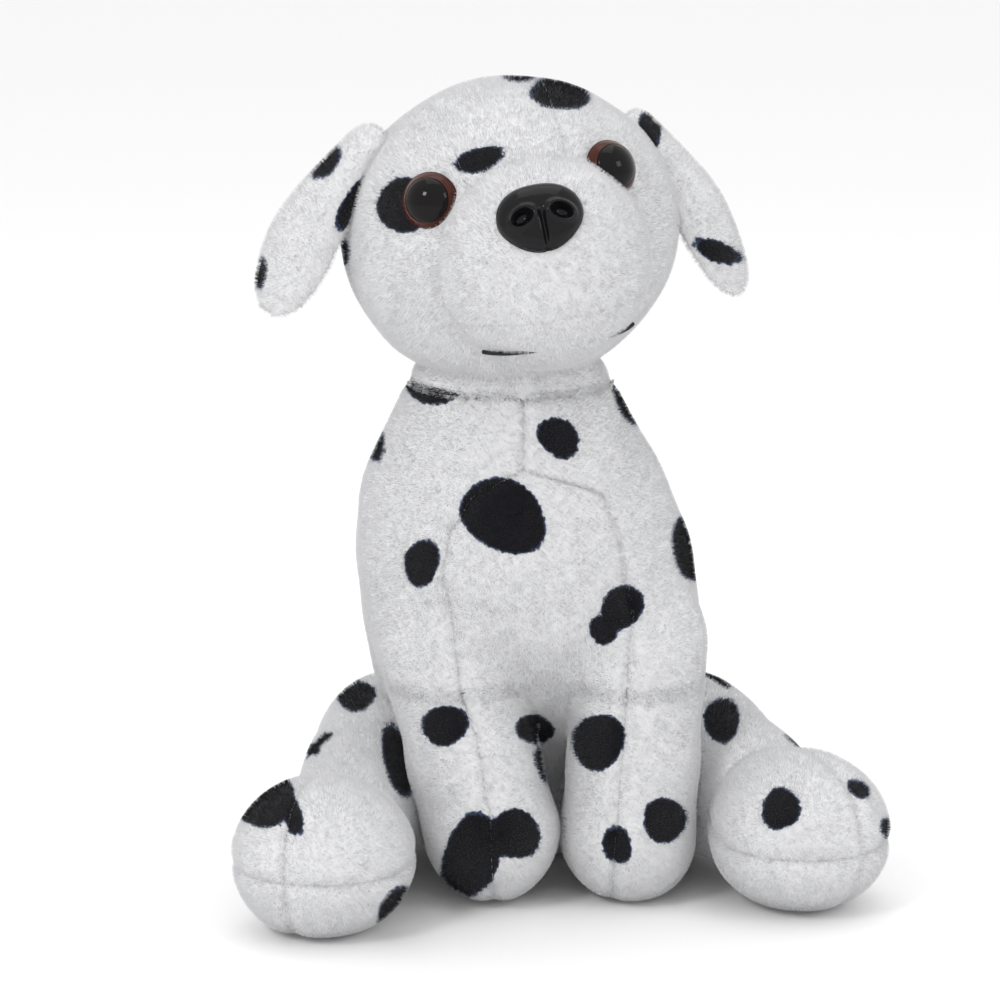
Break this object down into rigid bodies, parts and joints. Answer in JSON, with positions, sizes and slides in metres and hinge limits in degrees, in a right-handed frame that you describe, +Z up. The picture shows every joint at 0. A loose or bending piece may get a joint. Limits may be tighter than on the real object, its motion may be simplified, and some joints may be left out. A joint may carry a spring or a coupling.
{
  "type": "plush toy dog",
  "caption": "Sitting white plush dog with black spots: a soft display and cuddle toy that rests on its seat, feet and front paws.",
  "frame": {"origin": "on the resting surface, under the middle of the dog's bounding box", "axes": "+Z up, the dog faces -Y and its left side is +X"},
  "size_m": [0.1415, 0.1484, 0.1788],
  "materials": {
    "spotted_plush": "short-pile plush, matte",
    "nose_plastic": "gloss",
    "pupil_plastic": "gloss",
    "iris_plastic": "gloss",
    "washer_plastic": "matte",
    "polyester_fibre": "loose fibre, matte",
    "pellets": "matte",
    "pouch_cloth": "plain weave, matte",
    "black_thread": "satin",
    "white_thread": "satin"
  },
  "bodies": {
    "torso": {"body_side_left": "spotted_plush", "body_side_right": "spotted_plush", "chest_and_belly_gusset": "spotted_plush", "pellet_pouch": "pouch_cloth", "pellet_fill": "pellets", "torso_stuffing": "polyester_fibre", "closing_seam_stitches": "white_thread"},
    "neck": {"neck_stuffing": "polyester_fibre"},
    "head": {"chin_panel": "spotted_plush", "eye_left": "iris_plastic", "eye_right": "iris_plastic", "eye_washer_left": "washer_plastic", "eye_washer_right": "washer_plastic", "head_gusset": "spotted_plush", "head_side_left": "spotted_plush", "head_side_right": "spotted_plush", "head_stuffing": "polyester_fibre", "mouth_thread": "black_thread", "muzzle_panel": "spotted_plush", "nose": "nose_plastic", "nose_washer": "washer_plastic", "pupil_left": "pupil_plastic", "pupil_right": "pupil_plastic"},
    "ear_left": {"ear_outer_left": "spotted_plush", "ear_inner_left": "spotted_plush"},
    "ear_right": {"ear_outer_right": "spotted_plush", "ear_inner_right": "spotted_plush"},
    "front_leg_left": {"front_leg_inner_left": "spotted_plush", "front_leg_outer_left": "spotted_plush", "front_leg_stuffing_left": "polyester_fibre"},
    "front_leg_right": {"front_leg_inner_right": "spotted_plush", "front_leg_outer_right": "spotted_plush", "front_leg_stuffing_right": "polyester_fibre"},
    "hind_leg_left": {"foot_sole_left": "spotted_plush", "foot_upper_inner_left": "spotted_plush", "foot_upper_outer_left": "spotted_plush", "hind_leg_stuffing_left": "polyester_fibre", "thigh_skin_left": "spotted_plush"},
    "hind_leg_right": {"foot_sole_right": "spotted_plush", "foot_upper_inner_right": "spotted_plush", "foot_upper_outer_right": "spotted_plush", "hind_leg_stuffing_right": "polyester_fibre", "thigh_skin_right": "spotted_plush"},
    "tail": {"tail_skin_left": "spotted_plush", "tail_skin_right": "spotted_plush", "tail_stuffing": "polyester_fibre"}
  },
  "joints": [
    {"name": "head_turn", "type": "hinge", "parent": "torso", "child": "neck", "pos_m": [-0.0109, -0.0199, 0.112], "axis": [0, 0, 1], "range_deg": [-30, 30], "stiffness_Nm_per_rad": 0.25},
    {"name": "head_nod", "type": "hinge", "parent": "neck", "child": "head", "pos_m": [-0.0109, -0.0199, 0.112], "axis": [1, 0, 0], "range_deg": [-18, 15], "stiffness_Nm_per_rad": 0.5},
    {"name": "ear_left_flap", "type": "hinge", "parent": "head", "child": "ear_left", "pos_m": [0.02056, -0.01798, 0.16465], "axis": [0.165, -0.9863, 0], "range_deg": [0, 60], "stiffness_Nm_per_rad": 0.02},
    {"name": "ear_right_flap", "type": "hinge", "parent": "head", "child": "ear_right", "pos_m": [-0.04408, -0.0288, 0.16298], "axis": [-0.165, 0.9863, 0], "range_deg": [0, 60], "stiffness_Nm_per_rad": 0.02},
    {"name": "front_leg_left_swing", "type": "hinge", "parent": "torso", "child": "front_leg_left", "pos_m": [0.0171, -0.0289, 0.05], "axis": [-1, 0, 0], "range_deg": [-3, 28], "stiffness_Nm_per_rad": 0.12},
    {"name": "front_leg_right_swing", "type": "hinge", "parent": "torso", "child": "front_leg_right", "pos_m": [-0.0244, -0.0289, 0.05], "axis": [-1, 0, 0], "range_deg": [-3, 28], "stiffness_Nm_per_rad": 0.12},
    {"name": "hind_leg_left_spread", "type": "hinge", "parent": "torso", "child": "hind_leg_left", "pos_m": [0.0286, 0.0041, 0.0215], "axis": [0, 0, 1], "range_deg": [0, 20], "stiffness_Nm_per_rad": 0.12},
    {"name": "hind_leg_right_spread", "type": "hinge", "parent": "torso", "child": "hind_leg_right", "pos_m": [-0.0364, 0.0041, 0.0215], "axis": [0, 0, -1], "range_deg": [0, 20], "stiffness_Nm_per_rad": 0.12},
    {"name": "tail_wag", "type": "hinge", "parent": "torso", "child": "tail", "pos_m": [-0.0054, 0.0371, 0.027], "axis": [0, 0, 1], "range_deg": [-35, 35], "stiffness_Nm_per_rad": 0.03}
  ]
}
